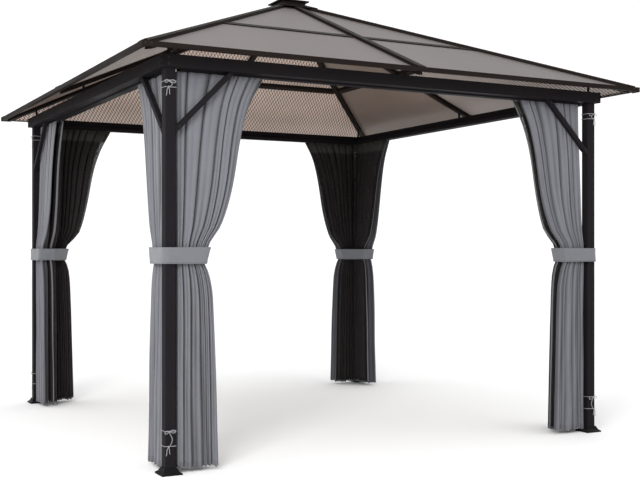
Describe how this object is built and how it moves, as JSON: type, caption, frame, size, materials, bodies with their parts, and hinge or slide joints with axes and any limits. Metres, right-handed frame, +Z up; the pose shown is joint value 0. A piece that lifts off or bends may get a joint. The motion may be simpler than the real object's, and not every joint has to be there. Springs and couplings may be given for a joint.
{
  "type": "hardtop garden gazebo",
  "caption": "Square open gazebo with a hipped hardtop roof on four posts, knee braces, a small raised peak cap, tied-back curtains and insect netting.",
  "frame": {"origin": "on the ground at the middle of the plan, midway between the four posts", "axes": "+Z up, front side towards -Y, +X to the right seen from the front"},
  "size_m": [3.004, 3.004, 2.656],
  "materials": {
    "frame_paint": "satin charcoal-brown powder coat",
    "roof_sheet": "twin-wall polycarbonate, warm grey-brown, slightly see-through",
    "curtain_cloth": "woven polyester, mid grey",
    "netting_mesh": "fine black insect mesh",
    "band_cloth": "woven polyester, mid grey, stitched edges",
    "tie_cord": "light grey braided cord"
  },
  "bodies": {
    "root": {"base_plates": "frame_paint", "beam_back": "frame_paint", "beam_front": "frame_paint", "beam_left": "frame_paint", "beam_right": "frame_paint", "curtain_back_left": "curtain_cloth", "curtain_back_right": "curtain_cloth", "curtain_front_left": "curtain_cloth", "curtain_front_right": "curtain_cloth", "curtain_tracks": "frame_paint", "eave_corner_covers": "frame_paint", "eave_rail_back": "frame_paint", "eave_rail_front": "frame_paint", "eave_rail_left": "frame_paint", "eave_rail_right": "frame_paint", "foot_covers": "frame_paint", "hip_rafter_back_left": "frame_paint", "hip_rafter_back_right": "frame_paint", "hip_rafter_front_left": "frame_paint", "hip_rafter_front_right": "frame_paint", "knee_braces": "frame_paint", "middle_rafter_back": "frame_paint", "middle_rafter_front": "frame_paint", "middle_rafter_left": "frame_paint", "middle_rafter_right": "frame_paint", "netting_back_left": "netting_mesh", "netting_back_right": "netting_mesh", "netting_front_left": "netting_mesh", "netting_front_right": "netting_mesh", "peak_collar": "frame_paint", "peak_hub": "frame_paint", "post_back_left": "frame_paint", "post_back_right": "frame_paint", "post_front_left": "frame_paint", "post_front_right": "frame_paint", "purlins": "frame_paint", "roof_panels_back": "roof_sheet", "roof_panels_front": "roof_sheet", "roof_panels_left": "roof_sheet", "roof_panels_right": "roof_sheet", "roof_struts": "frame_paint", "string_ties": "tie_cord", "tie_bands": "band_cloth", "top_cap": "frame_paint"}
  },
  "joints": []
}
